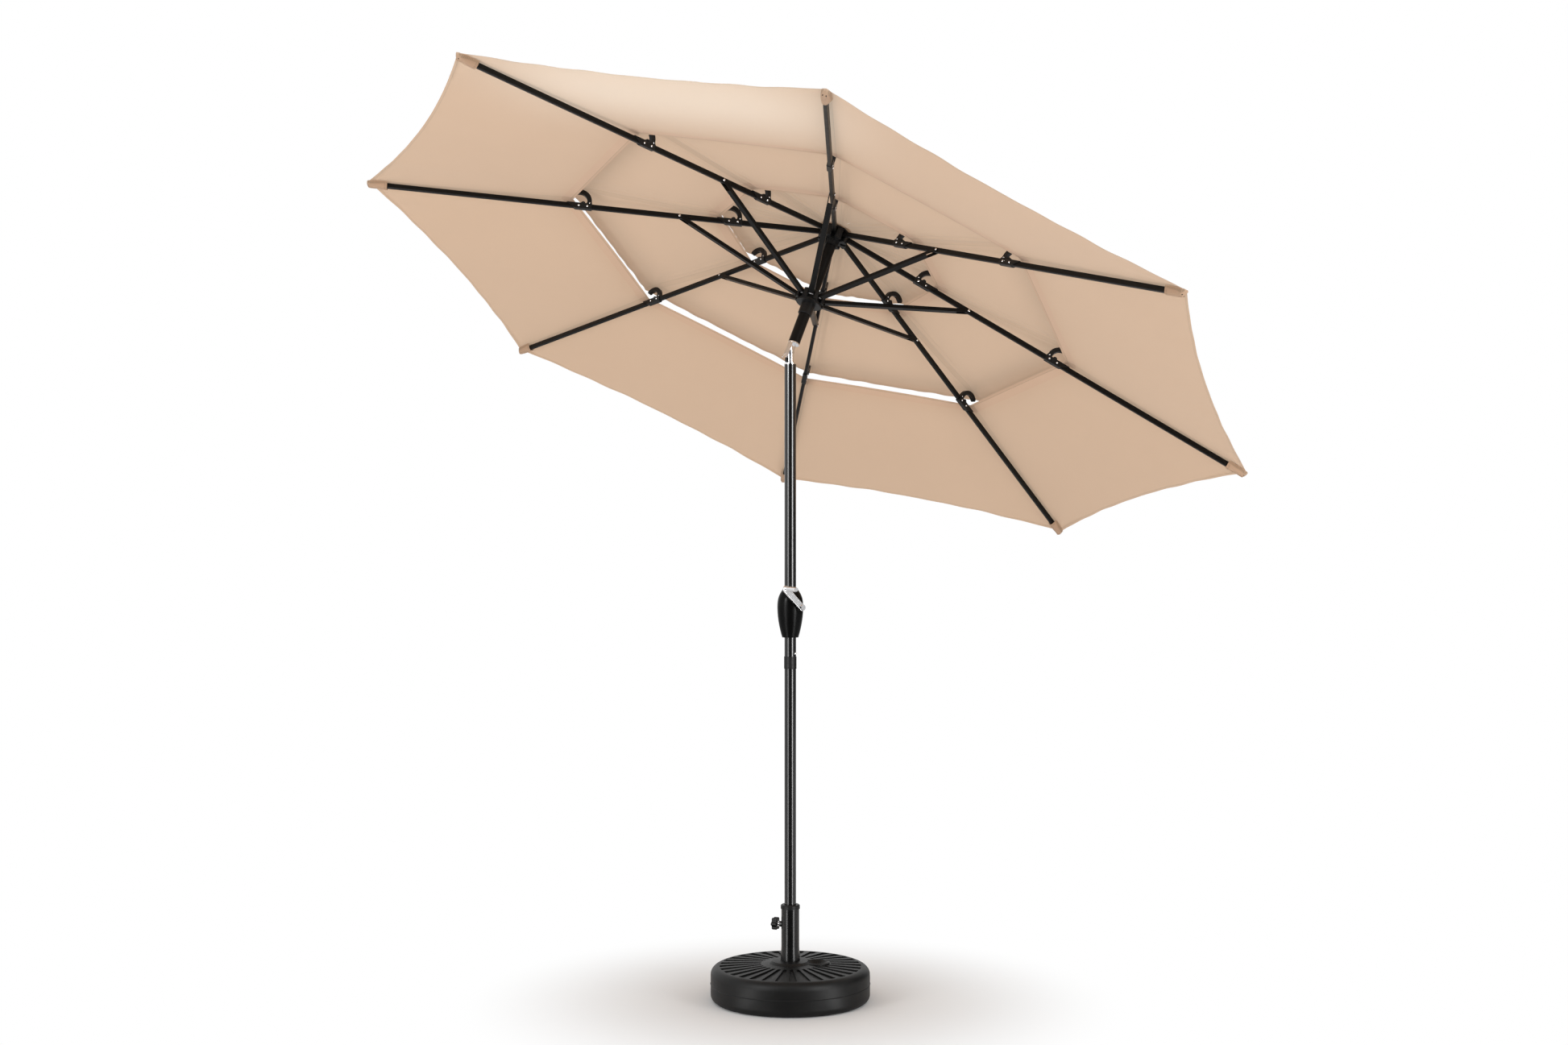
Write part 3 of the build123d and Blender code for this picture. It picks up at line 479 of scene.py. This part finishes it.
def tier_cloth(name, k, inner, outer, hole, rim, scallop, sag, lift, keep, over):
    """Cloth about rib k. u runs from hole to rim, v from one mid-gore to the next, t = |v| is 0 on the rib.

    Between ribs the cloth is the flat side of an octagon, sunk by sag times 1 - (1 - t)^2,
    and the rim is drawn in by scallop on the same parabola. Towards the hole it rises again by lift.
    Short ripples run in from the rim, drag lines spread from the points where the clips hold it,
    and the upper two tiers pucker along the ribs. The tier above reaches out to over.
    """
    length = rim - hole
    field = np.linspace(FIELD_EDGE / length, 1.0 - FIELD_EDGE / length, 56)
    u = np.concatenate([HEM_ROWS / length, field, 1.0 - HEM_ROWS[::-1] / length])[:, None]
    v = np.linspace(-1.0, 1.0, 81)[None, :]
    t = np.abs(v)
    bow = 1.0 - (1.0 - t) ** 2
    reach = rim * (1.0 - scallop / (rim * math.cos(HALF_GORE)) * bow)
    r = hole + (reach - hole) * u
    slope = (outer[1] - inner[1]) / (outer[0] - inner[0])
    h = inner[1] + slope * (r - inner[0])
    h = h - sag * bow * (0.35 + 0.65 * np.sin(np.pi * u))
    h = h + lift * bow * (1.0 - u) ** 2
    fold = 4.0 * t * (1.0 - t)
    ripple = np.sin(23.0 * v + 2.1 * k) * 0.6 + np.sin(11.0 * v - 6.0 * u + 1.3 * k) * 0.4
    h = h + RIPPLE * fold * ripple * np.exp(-5.0 * (1.0 - u))
    gap = reach - r
    h = h - HEM_DROP * (gap < HEM_WIDTH)
    x = r * (1.0 - t * math.sin(HALF_GORE) ** 2)
    y = v * r * math.cos(HALF_GORE) * math.sin(HALF_GORE)
    off_rib = np.abs(y)
    for tie in [hole, outer[0]] if name != "top" else [outer[0]]:
        away = np.hypot(r - tie, y) / DRAG_REACH
        ray = np.arctan2(off_rib, r - tie)
        h = h + DRAG * away * np.exp(1.0 - away) * np.sin(4.0 * ray) ** 2
    if name != "lower":
        pucker = np.sin(2.0 * np.pi * off_rib / PUCKER_PITCH + 0.9 * k)
        pucker = pucker * np.exp(-(((off_rib - PUCKER_PLACE) / PUCKER_SPREAD) ** 2))
        h = h + PUCKER * pucker * np.sin(np.pi * u**0.7)
    hem_gap = np.minimum(gap, r - hole) if name != "top" else gap
    # The band of painted shadow on the top and middle tiers: it fades in from 0.2 m to 0.07 m before the rim.
    rim_shadow_band = np.clip((0.2 - gap) / 0.13, 0.0, 1.0) if name != "lower" else 0.0
    extra = {"across": y, "along": r, "rim_gap": hem_gap, "seam_gap": off_rib, "rim_shadow_mask": rim_shadow_band}
    # Where the tier above overlaps this one: the cloth takes painted light there and lets less light through.
    extra["overlap"] = over - r
    grid = about_rib(k, x, y, h)
    piece = sheet_mesh(f"{name}_{k}", grid, extra)
    piece.data.materials.append(canopy_cloth)
    length * 1.03
    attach(piece, f"rib_{k}")
    a = math.radians(45.0 * (k - 1))
    axis = leaned(-math.sin(a), math.cos(a), 0.0) - leaned(0.0, 0.0, 0.0)
    anchor = about_rib(k, HUB_RADIUS, 0.0, HUB_HEIGHT)
    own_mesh(piece)
    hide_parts(f"canopy_{name}")


CLIP_IN = 0.2994
CLIP_OUT = 0.8033
CLIP_RISE = 0.0604
RIB_TOP = 0.0109
top_crown = (0.014, HUB_HEIGHT + 0.0226)
top_edge = on_rib(CLIP_IN + 0.016, CLIP_RISE)
top_hole = 0.05
top_rim = top_edge[0] + 0.061
middle_hole = on_rib(CLIP_IN + 0.042, 0.0193)
middle_edge = on_rib(CLIP_OUT + 0.016, CLIP_RISE + 0.004)
middle_rim = middle_edge[0] + 0.049
lower_hole = on_rib(CLIP_OUT + 0.036, 0.0223)
lower_edge = on_rib(RIB_REACH, RIB_TOP)
lower_rim = on_rib(RIB_REACH + 0.002, RIB_TOP)[0]
top_form = {"scallop": 0.002, "sag": 0.004, "lift": 0.0, "keep": 0.74, "over": 0.0}
middle_form = {"scallop": 0.004, "sag": 0.008, "lift": 0.005, "keep": 0.475, "over": top_rim}
lower_form = {"scallop": 0.042, "sag": 0.012, "lift": 0.008, "keep": 0.405, "over": middle_rim}
for k in range(1, 9):
    tier_cloth("top", k, top_crown, top_edge, top_hole, top_rim, **top_form)
    tier_cloth("middle", k, middle_hole, middle_edge, middle_hole[0], middle_rim, **middle_form)
    tier_cloth("lower", k, lower_hole, lower_edge, lower_hole[0], lower_rim, **lower_form)

# Crown patch: a round of the same cloth that is sewn over the meeting of the gores, under the finial.
# It is a shallow cone whose edge turns down a little.
CROWN_IN = 0.014
CROWN_OUT = 0.062
CROWN_TURN = 0.054
turn = np.linspace(0.0, 2.0 * np.pi, 64, endpoint=False)[None, :]
crown_r = np.linspace(CROWN_IN, CROWN_OUT, 10)[:, None]
crown_drop = 0.1058 * (crown_r - CROWN_IN) + 6.0 * np.clip(crown_r - CROWN_TURN, 0.0, 1.0) ** 2
crown_h = HUB_HEIGHT + 0.0238 - crown_drop
crown_points = leaned(crown_r * np.cos(turn), crown_r * np.sin(turn), crown_h)
crown_extra = {"across": crown_r * turn, "along": crown_r, "rim_gap": CROWN_OUT - crown_r, "seam_gap": 1.0}
crown = sheet_mesh("crown_patch", crown_points, crown_extra, closed=True)
crown.data.materials.append(canopy_cloth)
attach(crown, "upper_mast")


# Rib pockets: a strip of the same cloth under each tip, sewn to the canopy along both sides and to the hem.
# It hangs below the rib like a pouch and is open at its inner end, where the rib's plug goes in.
def in_rib(k, s, y, w):
    """Points given along rib k, sideways and above its middle line, at rest."""
    radius, height = on_rib(s, w)
    return about_rib(k, radius, y, height)


POCKET_LENGTH = 0.066
POCKET_HALF = 0.0175
POCKET_TIP_HALF = 0.0118
POCKET_LIP = 0.005
POCKET_DEPTH = 0.0205
inward = np.concatenate([np.linspace(-POCKET_LIP, 0.003, 9), np.linspace(0.006, POCKET_LENGTH, 26)])[:, None]
v = np.linspace(-1.0, 1.0, 49)[None, :]
part = np.clip(inward / POCKET_LENGTH, 0.0, 1.0)
closing = np.sqrt(np.clip((inward + POCKET_LIP) / 0.007, 0.0, 1.0))
half = (POCKET_TIP_HALF + (POCKET_HALF - POCKET_TIP_HALF) * np.sqrt(part)) * (0.7 + 0.3 * closing)
y = half * v
seam = 0.0102 - 0.106 * np.abs(y)
bulge = 1.0 - np.abs(v) ** (4.0 - 1.9 * part)
s = RIB_REACH + 0.0015 - inward - 0.5 * np.abs(y) * (1.0 - part)
pocket_extra = {"across": y, "along": inward + 1.0, "rim_gap": POCKET_LENGTH - inward}
pocket_extra["seam_gap"] = half - np.abs(y) + 0.011
for k in range(1, 9):
    gather = 0.0009 * np.sin(9.0 * v + 130.0 * inward + 1.7 * k) * (1.0 - part) * closing
    w = seam - (POCKET_DEPTH + 0.0035 * part) * bulge * closing + gather
    points = in_rib(k, s, y, w)
    pocket = sheet_mesh(f"tip_pocket_{k}", points, pocket_extra)
    pocket.data.materials.append(canopy_cloth)
    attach(pocket, f"rib_{k}")


# Rivets: bright domed steel heads that fix the vent clips to the ribs and hang the struts from them.
# The heads that move together are one piece.
def dome(k, s, y, w, side, radius, rise):
    """A domed head on a rib's flank: its profile is a quarter ellipse, turned about the sideways axis."""
    ring = side * np.linspace(0.0, 2.0 * np.pi, 14, endpoint=False)[None, :]
    climb = np.linspace(0.0, np.pi / 2.0, 6)[:, None]
    out = radius * np.cos(climb)
    flank = y + side * rise * np.sin(climb)
    return in_rib(k, s + out * np.cos(ring), flank, w - out * np.sin(ring))


rivet_steel, shader, place = plain_finish("rivet_steel", Metallic=1.0)
polish = grain(place, 300.0, 2.0)
polish.mix((0.66, 0.66, 0.67, 1.0), (0.78, 0.78, 0.79, 1.0)).into(shader, "Base Color")
(0.14 + polish * 0.16).into(shader, "Roughness")


def heads(name, body, domes):
    """Several domed heads joined into one piece."""
    rows, columns = domes[0].shape[:2]
    quads = grid_quads(rows, columns, closed=True)
    points = np.concatenate([grid.reshape(-1, 3) for grid in domes])
    faces = np.concatenate([quads + number * rows * columns for number in range(len(domes))])
    piece = smooth_piece(name, points, faces)
    piece.data.materials.append(rivet_steel)
    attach(piece, body)


STRUT_ON_RIB = 0.4797
RIVET_STEP = 0.0145
for k in range(1, 9):
    domes = []
    for middle in (CLIP_IN, CLIP_OUT):
        for side in (-1.0, 1.0):
            for step in (-RIVET_STEP, RIVET_STEP):
                domes.append(dome(k, middle + step, side * 0.0084, 0.0, side, radius=0.0034, rise=0.0016))
            domes.append(dome(k, middle - 0.0212, side * 0.006, 0.0125, side, radius=0.0026, rise=0.0013))
    heads(f"clip_rivets_{k}", f"rib_{k}", domes)
    domes = []
    for side in (-1.0, 1.0):
        domes.append(dome(k, STRUT_ON_RIB, side * 0.009, 0.0, side, radius=0.0042, rise=0.0018))
    heads(f"strut_rivets_{k}", f"strut_{k}", domes)

# Cord tail: the last length of the lift cord, a plain braided tube along the upper pole.
# It is knotted into the runner, which draws it down as the canopy folds.
TAIL_PLACE = -0.0212
TAIL_RADIUS = 0.00142
tail_turn = np.linspace(0.0, 2.0 * np.pi, 12, endpoint=False)[None, :]
tail_h = np.linspace(0.2285, 0.345, 30)[:, None]
tail_x = TAIL_PLACE + TAIL_RADIUS * np.cos(tail_turn)
tail = sheet_mesh("cord_tail", leaned(tail_x, TAIL_RADIUS * np.sin(tail_turn), tail_h), closed=True)
tail.data.materials.append(cord_braid)
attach(tail, "runner")
